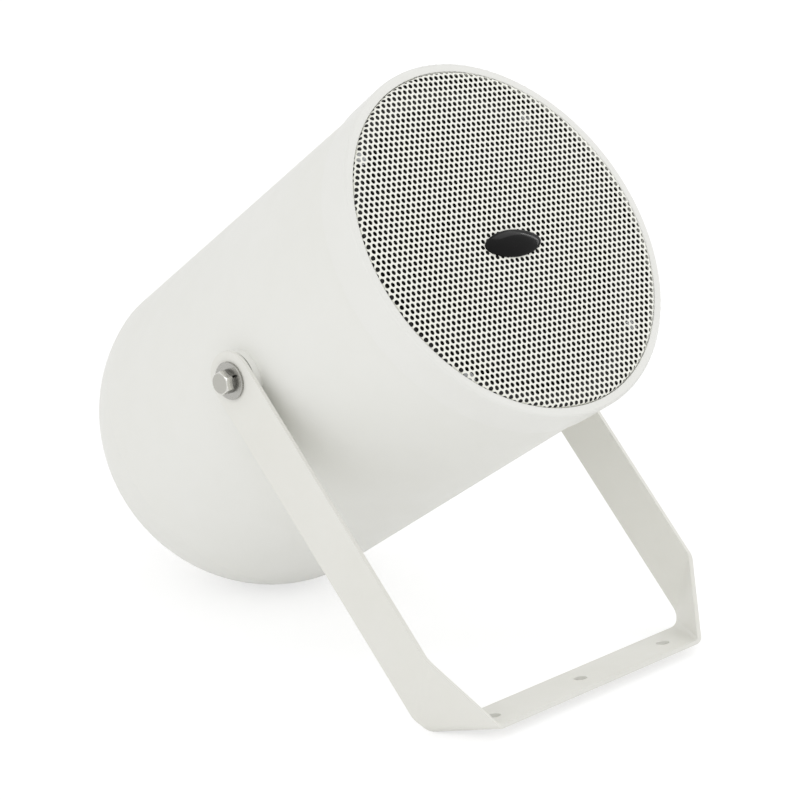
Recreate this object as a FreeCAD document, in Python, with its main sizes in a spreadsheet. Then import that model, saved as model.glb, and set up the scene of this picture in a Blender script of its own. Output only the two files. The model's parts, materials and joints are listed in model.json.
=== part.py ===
import FreeCAD, Part
import Sketcher
import math
import os

# A public address sound projector on its folded steel bracket.
# Speaker frame: the bracket's pivot axis is X, the body's axis is Z and points out of the grille.
# The finished pieces are then stood on the floor, on the rear dome and the bracket's rear strap edge.

# Driving dimensions, in millimetres and degrees
DIMENSIONS = [
    ("FrontReach", 110.0, "pivot axis to the collar's front edge"),
    ("CollarRadius", 90.0, "outer radius at the front edge"),
    ("CollarLength", 20.0, "front edge to seam"),
    ("CollarWall", 4.5, "wall, and width of its flat front face"),
    ("CollarDraft", 0.8, "radius lost from front edge to seam"),
    ("CollarRound", 1.2, "rounding of the front outer edge"),
    ("LipRound", 0.4, "rounding of the front inner edge"),
    ("SeamStep", 1.0, "collar's rear edge outside the shell"),
    ("ShellTaper", 4.6, "radius lost from seam to crease"),
    ("CreaseReach", 109.0, "pivot axis back to the crease"),
    ("CreaseAngle", 11.0, "slope of the dome where it starts"),
    ("RearFlat", 13.0, "radius of the flat at the rear, the gland's seat"),
    ("ShellWall", 3.0, "wall of the shell"),
    ("SpigotLength", 8.0, "length of the shell inside the collar"),
    ("SpigotGap", 0.2, "radial gap between spigot and collar"),
    ("BossRadius", 13.0, "pivot boss"),
    ("BossDepth", 18.0, "length of the pivot boss"),
    ("PillarRadius", 4.4, "driver screw pillar"),
    ("PillarLength", 22.0, "driver screw pillar"),
    ("DriverScrewInset", 5.8, "driver screws in from the basket's edge"),
    ("DriverScrewCount", 4, "driver screws"),
    ("DriverScrewStart", 45, "angle of the first driver screw"),
    ("DriverScrewRadius", 1.45, "core of a driver screw"),
    ("DriverScrewLength", 14.0, "driver screw under its head"),
    ("ScrewHeadRadius", 3.2, "pan head"),
    ("ScrewHeadHeight", 2.2, "pan head"),
    ("ScrewFit", 0.06, "radial gap round a screw in its own hole"),
    ("ScrewClearance", 0.45, "radial gap round a screw in a clamped sheet"),
    ("GasketThickness", 1.5, "driver gasket"),
    ("GasketWidth", 10.8, "driver gasket, across its ring"),
    ("BasketSheet", 1.2, "pressed steel of the basket"),
    ("BasketClearance", 0.8, "radial gap between basket flange and collar"),
    ("FlangeWidth", 13.3, "basket flange, across its ring"),
    ("BasketDepth", 47.0, "flange to basket floor"),
    ("SpiderSeat", 40.0, "outer radius of the spider's ledge"),
    ("SpiderDepth", 37.0, "flange to the spider's ledge"),
    ("BasketFloor", 33.0, "radius of the basket floor"),
    ("WindowWidth", 30.0, "basket window"),
    ("WindowHeight", 22.0, "basket window"),
    ("CoilRadius", 13.0, "inner radius of the coil former"),
    ("FormerWall", 0.3, "coil former"),
    ("FormerLength", 28.0, "coil former"),
    ("WindingWall", 0.5, "voice coil winding"),
    ("WindingLength", 10.0, "voice coil winding"),
    ("MagnetGap", 0.55, "running gap on each side of the coil"),
    ("PlateThickness", 5.0, "top plate"),
    ("PlateRadius", 37.0, "top plate and yoke"),
    ("MagnetRadius", 42.0, "ferrite ring"),
    ("MagnetBore", 21.0, "ferrite ring"),
    ("MagnetHeight", 15.0, "ferrite ring"),
    ("YokeThickness", 5.0, "back plate of the yoke"),
    ("ConeInset", 10.5, "edge of the cone in from the basket's mouth"),
    ("ConeSheet", 0.8, "paper of the cone"),
    ("ConeLip", 2.5, "flat lip round the cone"),
    ("NeckDepth", 35.0, "basket flange to the cone's neck"),
    ("DustCapRadius", 22.0, "dust cap"),
    ("DustCapRise", 8.0, "dust cap"),
    ("PleatCount", 6, "pleats of the spider"),
    ("PleatRise", 1.6, "height of a pleat"),
    ("RollRadius", 4.0, "half roll of the surround"),
    ("RollSheet", 0.7, "rubber of the surround"),
    ("GlueGap", 0.05, "glue line between the driver's pieces"),
    ("GrilleSheet", 0.6, "perforated steel"),
    ("GrilleGap", 0.3, "radial gap between grille and collar"),
    ("GrilleRoll", 2.2, "outer radius of the rolled edge"),
    ("GrilleProud", 1.2, "grille face in front of the collar's edge"),
    ("HolePitch", 14.6, "pitch of the perforation as modelled here"),
    ("HoleRadius", 4.4, "radius of a perforation as modelled here"),
    ("HoleMargin", 5.2, "perforated field in from the pan's side"),
    ("GrilleTurn", -5.7, "turn of the perforation rows and the badge about the body's axis"),
    ("BadgeLength", 34.0, "oval badge"),
    ("BadgeHeight", 13.6, "oval badge"),
    ("BadgeEdge", 0.9, "height of the badge at its rim"),
    ("BadgeThickness", 2.2, "height of the badge at its crown"),
    ("BadgeSpread", 1.12, "dome's base against the badge's own outline"),
    ("BadgeDrop", 4.0, "badge centre below the grille's centre"),
    ("ArmClearance", 1.4, "gap between the collar and a bracket arm"),
    ("StripWidth", 27.4, "bracket strip"),
    ("StripThickness", 2.0, "bracket strip"),
    ("ArmLength", 185.3, "pivot axis to the rear corner of the strap, along the arm"),
    ("ArmLean", 7.9, "lean of the arm, forward of square to the body's axis"),
    ("FoldRise", 23.6, "first fold: rise of its front end above the rear corner, along the arm"),
    ("StrapTurn", 35.2, "strap's width turned down from the arm's width"),
    ("RearBend", 9.0, "bend radius at the strip's rear edge"),
    ("UpperBend", 8.0, "bend radius of the first fold at the front edge"),
    ("LowerBend", 2.5, "bend radius of the second fold at the front edge"),
    ("StrapHoleRadius", 3.25, "fixing holes in the strap"),
    ("StrapHoleSpacing", 60.0, "spacing of the fixing holes"),
    ("PivotRadius", 3.0, "pivot bolt"),
    ("PivotFit", 0.08, "radial gap round the pivot bolt in the arm"),
    ("BoltLength", 18.0, "pivot bolt under its head"),
    ("BoltHeadFlats", 10.0, "across the flats"),
    ("BoltHeadHeight", 4.0, "hexagon head"),
    ("FlatWasherRadius", 9.0, "plain washer"),
    ("FlatWasherThickness", 1.4, "plain washer"),
    ("SpringWasherRadius", 5.6, "split washer"),
    ("SpringWasherThickness", 1.6, "split washer"),
    ("SpringWasherSlit", 1.0, "slit of the split washer"),
    ("FrictionWasherRadius", 12.0, "plastic washer between boss and arm"),
    ("FrictionWasherThickness", 1.2, "plastic washer between boss and arm"),
    ("RunGap", 0.1, "face gap on each side of a turning arm"),
    ("InsertRadius", 4.6, "threaded insert"),
    ("InsertLength", 12.0, "threaded insert"),
    ("CoreWidth", 48.0, "transformer core, across both windows"),
    ("CoreHeight", 40.0, "transformer core"),
    ("CoreStack", 16.0, "stack of laminations"),
    ("CoreLeg", 8.0, "outer leg, and width of a window"),
    ("CoilOverhang", 7.0, "winding beyond the stack, on each side"),
    ("CoilGap", 0.3, "gap between winding and core"),
    ("ClampSheet", 1.2, "folded clamp round the core"),
    ("ClampFoot", 13.0, "length of a clamp foot"),
    ("ClampWidth", 14.0, "width of the clamp strip"),
    ("TransformerReach", 128.0, "pivot axis back to the transformer's seat"),
    ("TransformerBossRadius", 5.0, "boss under a clamp foot"),
    ("TransformerScrewLength", 9.0, "clamp screw under its head"),
    ("GlandThread", 7.5, "radius of the gland's thread"),
    ("GlandFlats", 22.0, "gland hexagon, across the flats"),
    ("GlandFlange", 3.6, "gland hexagon"),
    ("GlandTail", 11.0, "gland thread inside the wall"),
    ("GlandCollar", 5.4, "gland thread outside the hexagon"),
    ("GlandBore", 5.4, "bore of the gland body"),
    ("GlandNutWall", 2.6, "cap nut"),
    ("GlandNutCrown", 3.4, "domed end of the cap nut"),
    ("GlandNutMouth", 4.6, "radius of the cap nut's mouth"),
    ("GlandSealBore", 3.5, "radius of the cable hole in the seal"),
    ("GlandFit", 0.1, "radial gap between gland pieces"),
    ("LocknutFlats", 20.0, "across the flats"),
    ("LocknutThickness", 4.0, "gland locknut"),
]

X_AXIS = FreeCAD.Vector(1, 0, 0)
Y_AXIS = FreeCAD.Vector(0, 1, 0)
Z_AXIS = FreeCAD.Vector(0, 0, 1)
FULL_TURN = 360
EXTRA = 5.0     # how far a cutting tool runs past the face it cuts

doc = FreeCAD.newDocument("sound_projector")
sheet = doc.addObject("Spreadsheet::Sheet", "Sizes")
for row, (alias, number, meaning) in enumerate(DIMENSIONS, start=1):
    sheet.set("A%d" % row, meaning)
    sheet.set("B%d" % row, str(number))
    sheet.setAlias("B%d" % row, alias)
doc.recompute()


class Size:
    """A length that carries both its number and the expression that makes it from the sheet."""

    def __init__(self, value, text=None):
        self.value = float(value)
        self.text = text or repr(self.value)

    def combine(self, other, sign, value):
        return Size(value, "(%s %s %s)" % (self.text, sign, as_size(other).text))

    def __add__(self, other):
        return self.combine(other, "+", self.value + as_size(other).value)

    def __sub__(self, other):
        return self.combine(other, "-", self.value - as_size(other).value)

    def __mul__(self, other):
        return self.combine(other, "*", self.value * as_size(other).value)

    def __truediv__(self, other):
        return self.combine(other, "/", self.value / as_size(other).value)

    def __neg__(self):
        return Size(-self.value, "(0 - %s)" % self.text)

    def sin(self):
        return Size(math.sin(math.radians(self.value)), "sin(%s)" % self.text)

    def cos(self):
        return Size(math.cos(math.radians(self.value)), "cos(%s)" % self.text)

    def sqrt(self):
        return Size(math.sqrt(self.value), "sqrt(%s)" % self.text)


def as_size(number):
    return number if isinstance(number, Size) else Size(number)


class Sheet:
    """The sheet's cells, by alias."""

    def __getattr__(self, alias):
        return Size(sheet.get(alias), "Sizes." + alias)


d = Sheet()
finished = []


def bind(feature, **sizes):
    for name, value in sizes.items():
        feature.setExpression(name.replace("__", "."), as_size(value).text)
    return feature


def finish(feature, label):
    """Keep a feature as one of the speaker's own pieces."""
    feature.Label = label
    finished.append(feature)
    return feature


def revolve(name, profile):
    """Turn a closed profile of (radius, height) points round Z.

    A point may carry a third value, the radius of an arc to the next point: positive bulges to
    the right of the way the profile runs, negative to its left.
    """
    body = doc.addObject("PartDesign::Body", name)
    sketch = body.newObject("Sketcher::SketchObject", name + "_profile")
    plane = [part for part in body.Origin.OriginFeatures if part.Role == "XZ_Plane"][0]
    sketch.AttachmentSupport = [(plane, "")]
    sketch.MapMode = "FlatFace"
    corners = [(as_size(point[0]), as_size(point[1])) for point in profile]
    spots = [FreeCAD.Vector(radius.value, height.value, 0) for radius, height in corners]
    count = len(corners)
    starts = []
    for index, point in enumerate(profile):
        here = spots[index]
        there = spots[(index + 1) % count]
        if len(point) == 2:
            sketch.addGeometry(Part.LineSegment(here, there), False)
            starts.append(1)
            continue
        radius = abs(point[2].value)
        side = 1 if point[2].value > 0 else -1
        chord = there - here
        right = FreeCAD.Vector(chord.y, -chord.x, 0) * (side / chord.Length)
        inset = math.sqrt(max(radius ** 2 - chord.Length ** 2 / 4, 0))
        crown = (here + there) * 0.5 + right * (radius - inset)
        ends = (here, there)[::side]
        sketch.addGeometry(Part.Arc(ends[0], crown, ends[1]), False)
        starts.append(1 if side > 0 else 2)
    for index in range(count):
        following = (index + 1) % count
        sketch.addConstraint(Sketcher.Constraint("Coincident", index, 3 - starts[index],
                                                 following, starts[following]))
    for index, (radius, height) in enumerate(corners):
        for kind, value in (("DistanceX", radius), ("DistanceY", height)):
            distance = Sketcher.Constraint(kind, -1, 1, index, starts[index], value.value)
            number = sketch.addConstraint(distance)
            sketch.setExpression("Constraints[%d]" % number, value.text)
    for index, point in enumerate(profile):
        if len(point) == 3:
            arc = point[2] if point[2].value > 0 else -point[2]
            number = sketch.addConstraint(Sketcher.Constraint("Radius", index, arc.value))
            sketch.setExpression("Constraints[%d]" % number, arc.text)
    turn = body.newObject("PartDesign::Revolution", name + "_turn")
    turn.Profile = sketch
    turn.ReferenceAxis = (sketch, ["V_Axis"])
    turn.Angle = FULL_TURN
    body.Tip = turn
    return body


def ring(name, inner, outer, low, high):
    return revolve(name, [(inner, low), (outer, low), (outer, high), (inner, high)])


def rod(name, radius, low, high, x=0, y=0):
    """A round bar along Z."""
    bar = doc.addObject("Part::Cylinder", name)
    return bind(bar, Radius=radius, Height=as_size(high) - low, Placement__Base__x=x, Placement__Base__y=y,
                Placement__Base__z=low)


def block(name, low, high):
    """A box between two corners."""
    box = doc.addObject("Part::Box", name)
    low = [as_size(value) for value in low]
    high = [as_size(value) for value in high]
    return bind(box, Length=high[0] - low[0], Width=high[1] - low[1], Height=high[2] - low[2],
                Placement__Base__x=low[0], Placement__Base__y=low[1], Placement__Base__z=low[2])


def hexagon(name, flats, low, high):
    """A hexagonal bar along Z, given across its flats."""
    bar = doc.addObject("Part::Prism", name)
    bar.Polygon = 6
    return bind(bar, Circumradius=flats / Size(3).sqrt(), Height=as_size(high) - low, Placement__Base__z=low)


def fuse(name, *shapes):
    joined = doc.addObject("Part::MultiFuse", name)
    joined.Shapes = list(shapes)
    return joined


def cut(name, base, *tools):
    tool = tools[0] if len(tools) == 1 else fuse(name + "_tools", *tools)
    result = doc.addObject("Part::Cut", name)
    result.Base = base
    result.Tool = tool
    return result


def group(name, *shapes):
    """Like pieces that share one node, as separate solids."""
    bundle = doc.addObject("Part::Compound", name)
    bundle.Links = list(shapes)
    return bundle


def turned(feature, axis, angle):
    """A feature turned about the frame's origin, with its own placement left as it is bound."""
    carrier = group(feature.Name + "_turned", feature)
    carrier.Placement = FreeCAD.Placement(FreeCAD.Vector(), FreeCAD.Rotation(axis, angle))
    return carrier


def both_sides(name, make):
    """The same piece, turned round the pivot axis, at each end of it."""
    pieces = []
    for side, yaw in (("far", 90), ("near", -90)):
        pieces.append(turned(make(name + "_" + side), Y_AXIS, yaw))
    return group(name, *pieces)


def on_circle(count, start):
    """Evenly spaced angles, in degrees."""
    return [start + FULL_TURN / count.value * step for step in range(round(count.value))]


def at_angle(radius, angle):
    return radius * Size(angle).cos(), radius * Size(angle).sin()


# Radii, from the collar in
collar_bore = d.CollarRadius - d.CollarWall
shell_front = d.CollarRadius - d.CollarDraft - d.SeamStep
shell_rear = shell_front - d.ShellTaper
dome_arc = (shell_rear - d.RearFlat) / d.CreaseAngle.cos()
basket_edge = collar_bore - d.BasketClearance
basket_mouth = basket_edge - d.FlangeWidth
screw_circle = basket_edge - d.DriverScrewInset
cone_radius = basket_mouth - d.ConeInset

# Planes along the body's axis, from the collar back
seam = d.FrontReach - d.CollarLength
rim = seam + d.SpigotLength
gasket_top = rim + d.GasketThickness
flange_top = gasket_top + d.BasketSheet
dome_end = -d.CreaseReach - dome_arc * (Size(1) - d.CreaseAngle.sin())
dome_inside = dome_end + d.ShellWall
transformer_seat = -d.TransformerReach

# Planes along the pivot axis, from the boss out
arm_inside = d.CollarRadius + d.ArmClearance
boss_face = arm_inside - d.RunGap - d.FrictionWasherThickness
arm_outside = arm_inside + d.StripThickness
washer_seat = arm_outside + d.RunGap
spring_seat = washer_seat + d.FlatWasherThickness
head_seat = spring_seat + d.SpringWasherThickness

# Front collar: a plain moulded ring with a flat front face and rounded edges
finish(revolve("front_collar", [
    (collar_bore, seam),
    (d.CollarRadius - d.CollarDraft, seam),
    (d.CollarRadius, d.FrontReach - d.CollarRound, d.CollarRound),
    (d.CollarRadius - d.CollarRound, d.FrontReach),
    (collar_bore + d.LipRound, d.FrontReach, d.LipRound),
    (collar_bore, d.FrontReach - d.LipRound),
]), "front_collar")

# Housing shell: outside and cavity are turned, and the bosses are what the cavity leaves standing
spigot = collar_bore - d.SpigotGap
outside = revolve("shell_outside", [
    (0, rim),
    (0, dome_end),
    (d.RearFlat, dome_end, dome_arc),
    (shell_rear, -d.CreaseReach),
    (shell_front, seam),
    (spigot, seam),
    (spigot, rim),
])
cavity = revolve("shell_cavity", [
    (0, rim + EXTRA),
    (0, dome_inside),
    (d.RearFlat, dome_inside, dome_arc - d.ShellWall),
    (shell_rear - d.ShellWall * d.CreaseAngle.cos(), -d.CreaseReach + d.ShellWall * d.CreaseAngle.sin()),
    (spigot - d.ShellWall, seam),
    (spigot - d.ShellWall, rim + EXTRA),
])


def pivot_rods(name, radius, low, high):
    return both_sides(name, lambda piece: rod(piece, radius, low, high))


driver_angles = on_circle(d.DriverScrewCount, d.DriverScrewStart.value)
pillars = [rod("pillar", d.PillarRadius, rim - d.PillarLength, rim, *at_angle(screw_circle, angle))
           for angle in driver_angles]
pillar_holes = [rod("pillar_hole", d.DriverScrewRadius + d.ScrewFit, gasket_top - d.DriverScrewLength - EXTRA,
                    rim + EXTRA, *at_angle(screw_circle, angle)) for angle in driver_angles]
foot_place = d.CoreWidth / 2 + d.ClampSheet + (d.ClampFoot - d.ClampSheet) / 2
transformer_posts = [rod("transformer_post", d.TransformerBossRadius, dome_end, transformer_seat,
                         foot_place * side) for side in (1, -1)]
transformer_holes = [rod("transformer_hole", d.DriverScrewRadius + d.ScrewFit,
                         transformer_seat - d.TransformerScrewLength - EXTRA, transformer_seat + EXTRA,
                         foot_place * side) for side in (1, -1)]
boss_root = boss_face - d.BossDepth
core = cut("shell_core", cavity, pivot_rods("boss_roots", d.BossRadius, boss_root, boss_face), *pillars,
           *transformer_posts)
solid_shell = fuse("shell_solid", outside, pivot_rods("bosses", d.BossRadius, boss_root, boss_face))
finish(cut("shell_moulding", solid_shell, core,
           pivot_rods("insert_holes", d.InsertRadius, boss_face - d.InsertLength, boss_face + EXTRA),
           rod("gland_hole", d.GlandThread + d.GlandFit, dome_end - EXTRA, dome_inside + EXTRA),
           *pillar_holes, *transformer_holes), "housing_shell")

# Driver gasket and basket
finish(cut("gasket_ring", ring("gasket_blank", basket_edge - d.GasketWidth, basket_edge, rim, gasket_top),
           *[rod("gasket_hole", d.DriverScrewRadius + d.ScrewClearance, rim - EXTRA, gasket_top + EXTRA,
                 *at_angle(screw_circle, angle)) for angle in driver_angles]), "driver_gasket")
floor_top = flange_top - d.BasketDepth
ledge_top = flange_top - d.SpiderDepth
coil_outer = d.CoilRadius + d.FormerWall + d.WindingWall
gap_outer = coil_outer + d.MagnetGap
pole = d.CoilRadius - d.MagnetGap
sheet_steel = d.BasketSheet
basket_blank = revolve("basket_blank", [
    (basket_edge, flange_top),
    (basket_mouth, flange_top),
    (d.SpiderSeat, ledge_top),
    (d.BasketFloor + sheet_steel, ledge_top),
    (d.BasketFloor, floor_top),
    (gap_outer, floor_top),
    (gap_outer, floor_top - sheet_steel),
    (d.BasketFloor + sheet_steel, floor_top - sheet_steel),
    (d.BasketFloor + sheet_steel * 2, ledge_top - sheet_steel),
    (d.SpiderSeat + sheet_steel, ledge_top - sheet_steel),
    (basket_mouth + sheet_steel, flange_top - sheet_steel),
    (basket_edge, flange_top - sheet_steel),
])
window_low = ledge_top + d.BasketSheet * 3
windows = []
for angle in on_circle(d.DriverScrewCount, 0):
    window = block("basket_window", (d.SpiderSeat, -d.WindowWidth / 2, window_low),
                   (basket_mouth + EXTRA, d.WindowWidth / 2, window_low + d.WindowHeight))
    windows.append(turned(window, Z_AXIS, angle))
finish(cut("basket_pressing", basket_blank, *windows,
           *[rod("basket_hole", d.DriverScrewRadius + d.ScrewClearance, gasket_top - EXTRA,
                 flange_top + EXTRA, *at_angle(screw_circle, angle)) for angle in driver_angles]),
       "driver_basket")


def pan_screw(name, seat, length, x, y):
    """A pan-head screw along Z, its head on the seat."""
    return fuse(name, rod(name + "_head", d.ScrewHeadRadius, seat, seat + d.ScrewHeadHeight, x, y),
                rod(name + "_shank", d.DriverScrewRadius, seat - length, seat, x, y))


finish(group("driver_screw_set", *[pan_screw("driver_screw", flange_top, d.DriverScrewLength,
                                             *at_angle(screw_circle, angle)) for angle in driver_angles]),
       "driver_screws")

# Motor: top plate, ferrite ring and yoke, stacked under the basket floor
plate_top = floor_top - sheet_steel
plate_low = plate_top - d.PlateThickness
magnet_low = plate_low - d.MagnetHeight
finish(ring("top_plate", gap_outer, d.PlateRadius, plate_low, plate_top), "top_plate")
finish(ring("magnet", d.MagnetBore, d.MagnetRadius, magnet_low, plate_low), "magnet")
finish(revolve("yoke", [
    (0, magnet_low - d.YokeThickness),
    (d.PlateRadius, magnet_low - d.YokeThickness),
    (d.PlateRadius, magnet_low),
    (pole, magnet_low),
    (pole, plate_top),
    (0, plate_top),
]), "yoke")

# Moving system: former, winding, cone and dust cap
neck = flange_top - d.NeckDepth
former_outer = d.CoilRadius + d.FormerWall
former_top = neck + d.ConeSheet
finish(ring("coil_former", d.CoilRadius, former_outer, former_top - d.FormerLength, former_top),
       "coil_former")
winding_middle = plate_low + d.PlateThickness / 2
finish(ring("voice_coil", former_outer, coil_outer, winding_middle - d.WindingLength / 2,
            winding_middle + d.WindingLength / 2), "voice_coil")
cone_foot = former_outer + d.GlueGap
cone_edge = flange_top - d.GlueGap
cone_slope = (cone_edge - neck) / (cone_radius - cone_foot)
finish(revolve("cone", [
    (cone_foot, neck),
    (cone_radius, cone_edge - d.ConeSheet),
    (cone_radius + d.ConeLip, cone_edge - d.ConeSheet),
    (cone_radius + d.ConeLip, cone_edge),
    (cone_radius - d.ConeSheet, cone_edge),
    (cone_foot, neck + d.ConeSheet * 2),
]), "cone")
cap_seat = neck + d.ConeSheet * 2 + cone_slope * (d.DustCapRadius - cone_foot) + d.GlueGap
cap_arc = (d.DustCapRadius * d.DustCapRadius + d.DustCapRise * d.DustCapRise) / (d.DustCapRise * 2)
cap_inner = d.DustCapRadius - d.ConeSheet
cap_inner_arc = (cap_inner * cap_inner + d.DustCapRise * d.DustCapRise) / (d.DustCapRise * 2)
finish(revolve("dust_cap", [
    (0, cap_seat + d.DustCapRise),
    (0, cap_seat + d.DustCapRise + d.ConeSheet, -cap_arc),
    (d.DustCapRadius, cap_seat + d.ConeSheet),
    (d.DustCapRadius, cap_seat),
    (cap_inner, cap_seat, cap_inner_arc),
]), "dust_cap")

# Suspension: the rubber half roll and the pleated spider
roll_inner = cone_radius + d.ConeLip / 2
roll_middle = roll_inner + d.RollRadius + d.RollSheet
roll_outer = roll_middle + d.RollRadius + d.RollSheet
land = flange_top + d.GlueGap
finish(revolve("surround", [
    (cone_radius, land),
    (roll_middle - d.RollRadius, land, -d.RollRadius),
    (roll_middle, land + d.RollRadius, -d.RollRadius),
    (roll_middle + d.RollRadius, land),
    (basket_mouth + d.ConeLip, land),
    (basket_mouth + d.ConeLip, land + d.RollSheet),
    (roll_outer, land + d.RollSheet),
    (roll_outer, land, d.RollRadius + d.RollSheet),
    (roll_middle, land + d.RollRadius + d.RollSheet, d.RollRadius + d.RollSheet),
    (roll_inner, land),
    (roll_inner, land + d.RollSheet),
    (cone_radius, land + d.RollSheet),
]), "surround")
spider_low = ledge_top + d.GlueGap
spider_inner = former_outer + d.GlueGap
spider_sheet = d.ConeSheet
pleat = (d.BasketFloor - spider_inner) / (d.PleatCount * 2)
upper = []
lower = []
for step in range(round(d.PleatCount.value) * 2 + 1):
    lift = d.PleatRise * (step % 2)
    lower.append((spider_inner + pleat * step, spider_low + lift))
    upper.append((spider_inner + pleat * step, spider_low + lift + spider_sheet))
rim_points = [(d.SpiderSeat - d.GlueGap, spider_low), (d.SpiderSeat - d.GlueGap, spider_low + spider_sheet)]
finish(revolve("spider", lower + rim_points + upper[::-1]), "spider")

# Grille: a steel pan with a rolled edge, perforated in staggered rows
pan_outer = collar_bore - d.GrilleGap
pan_face = d.FrontReach + d.GrilleProud
field = pan_outer - d.HoleMargin
pan_foot = flange_top + d.RunGap
pan_inner = pan_outer - d.GrilleSheet
inner_roll = d.GrilleRoll - d.GrilleSheet
pan = revolve("grille_pan", [
    (0, pan_face - d.GrilleSheet),
    (pan_outer - d.GrilleRoll, pan_face - d.GrilleSheet, -inner_roll),
    (pan_inner, pan_face - d.GrilleRoll),
    (pan_inner, pan_foot),
    (pan_outer, pan_foot),
    (pan_outer, pan_face - d.GrilleRoll, d.GrilleRoll),
    (pan_outer - d.GrilleRoll, pan_face),
    (0, pan_face),
])
badge_reach = d.BadgeLength.value / 2 + d.HoleRadius.value
badge_rise = d.BadgeHeight.value / 2 + d.HoleRadius.value
rows = math.ceil(field.value / d.HolePitch.value)
holes = []
for row in range(-rows, rows + 1):
    for column in range(-rows, rows + 1):
        along = d.HolePitch * (column + (row % 2) / 2)
        across = d.HolePitch * (row * math.sqrt(3) / 2)
        in_field = math.hypot(along.value, across.value) + d.HoleRadius.value <= field.value
        below = across.value + d.BadgeDrop.value
        under_badge = math.hypot(along.value / badge_reach, below / badge_rise) < 1
        if in_field and not under_badge:
            holes.append(rod("grille_hole", d.HoleRadius, pan_face - EXTRA, pan_face + EXTRA, along,
                             across))
perforation = turned(group("perforation", *holes), Z_AXIS, d.GrilleTurn.value)
finish(cut("grille_sheet", pan, perforation), "grille")

# Badge: a blank oval with a domed top, stuck on the grille
oval = doc.addObject("Part::Ellipse", "badge_outline")
bind(oval, MajorRadius=d.BadgeLength / 2, MinorRadius=d.BadgeHeight / 2)
plate = doc.addObject("Part::Extrusion", "badge_plate")
plate.Base = oval
plate.DirMode = "Custom"
plate.Dir = Z_AXIS
plate.Solid = True
bind(plate, LengthFwd=d.BadgeThickness)
# The dome passes through the rim's height over the outline, and through the full height at the middle
dome_share = (Size(1) - Size(1) / (d.BadgeSpread * d.BadgeSpread)).sqrt()
dome_rise = (d.BadgeThickness - d.BadgeEdge) / (Size(1) - dome_share)
dome = doc.addObject("Part::Ellipsoid", "badge_dome")
dome.Angle1 = -90
bind(dome, Radius1=dome_rise, Radius2=d.BadgeLength / 2 * d.BadgeSpread,
     Radius3=d.BadgeHeight / 2 * d.BadgeSpread, Placement__Base__z=d.BadgeThickness - dome_rise)
domed = doc.addObject("Part::Common", "badge_domed")
domed.Base = plate
domed.Tool = dome
bind(domed, Placement__Base__y=-d.BadgeDrop, Placement__Base__z=pan_face)
finish(turned(domed, Z_AXIS, d.GrilleTurn.value), "badge")

# Pivots: insert, plastic washer, plain washer, split washer and hexagon bolt at each end of the pivot axis
shank_hole = d.PivotRadius + d.ScrewFit


def pivot_rings(name, outer, low, high):
    """Rings round the pivot bolts, one at each end of the pivot axis."""
    return both_sides(name, lambda piece: ring(piece, shank_hole, outer, low, high))


friction_seat = boss_face + d.FrictionWasherThickness
finish(pivot_rings("pivot_insert", d.InsertRadius, boss_face - d.InsertLength, boss_face), "pivot_inserts")
finish(pivot_rings("friction_washer", d.FrictionWasherRadius, boss_face, friction_seat), "friction_washers")
finish(pivot_rings("flat_washer", d.FlatWasherRadius, washer_seat, spring_seat), "flat_washers")


def split_washer(name):
    slit = d.SpringWasherSlit / 2
    whole = ring(name + "_ring", shank_hole, d.SpringWasherRadius, spring_seat, head_seat)
    return cut(name, whole, block(name + "_slit", (0, -slit, spring_seat - EXTRA),
                                  (d.SpringWasherRadius + EXTRA, slit, head_seat + EXTRA)))


def hexagon_bolt(name):
    head_top = head_seat + d.BoltHeadHeight
    corner = d.BoltHeadFlats / Size(3).sqrt()
    bevel = corner - d.BoltHeadFlats / 2
    dressed = doc.addObject("Part::Common", name + "_head")
    dressed.Base = hexagon(name + "_hexagon", d.BoltHeadFlats, head_seat, head_top)
    dressed.Tool = revolve(name + "_bevel", [
        (0, head_seat),
        (corner, head_seat),
        (corner, head_top - bevel),
        (d.BoltHeadFlats / 2 - bevel / 2, head_top),
        (0, head_top),
    ])
    return fuse(name, dressed, rod(name + "_shank", d.PivotRadius, head_seat - d.BoltLength, head_seat))


finish(both_sides("spring_washer", split_washer), "spring_washers")
finish(both_sides("pivot_bolt", hexagon_bolt), "pivot_bolts")

# Line transformer: laminated core, winding, folded clamp and its two screws
core_half = d.CoreWidth / 2
stack_half = d.CoreStack / 2
core_top = transformer_seat + d.CoreHeight
leg_half = core_half - d.CoreLeg * 2
core_windows = [block("core_window", (leg_half * side - d.CoreLeg * (side < 0), -stack_half - EXTRA,
                                      transformer_seat + d.CoreLeg),
                      (leg_half * side + d.CoreLeg * (side > 0), stack_half + EXTRA, core_top - d.CoreLeg))
                for side in (1, -1)]
finish(cut("core_stack", block("core_block", (-core_half, -stack_half, transformer_seat),
                               (core_half, stack_half, core_top)), *core_windows), "transformer_core")
coil_half = leg_half + d.CoreLeg - d.CoilGap
coil_deep = stack_half + d.CoilOverhang
finish(cut("coil_wound",
           block("coil_block", (-coil_half, -coil_deep, transformer_seat + d.CoreLeg + d.CoilGap),
                 (coil_half, coil_deep, core_top - d.CoreLeg - d.CoilGap)),
           block("coil_bore", (-leg_half - d.CoilGap, -stack_half - d.CoilGap, transformer_seat),
                 (leg_half + d.CoilGap, stack_half + d.CoilGap, core_top))), "transformer_coil")
clamp_half = d.ClampWidth / 2
clamp_side = core_half + d.ClampSheet
clamp_hoop = cut("clamp_hoop",
                 block("clamp_block", (-clamp_side, -clamp_half, transformer_seat),
                       (clamp_side, clamp_half, core_top + d.ClampSheet)),
                 block("clamp_inside", (-core_half, -clamp_half - EXTRA, transformer_seat - EXTRA),
                       (core_half, clamp_half + EXTRA, core_top)))
clamp_feet = block("clamp_feet", (-core_half - d.ClampFoot, -clamp_half, transformer_seat),
                   (core_half + d.ClampFoot, clamp_half, transformer_seat + d.ClampSheet))
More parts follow.
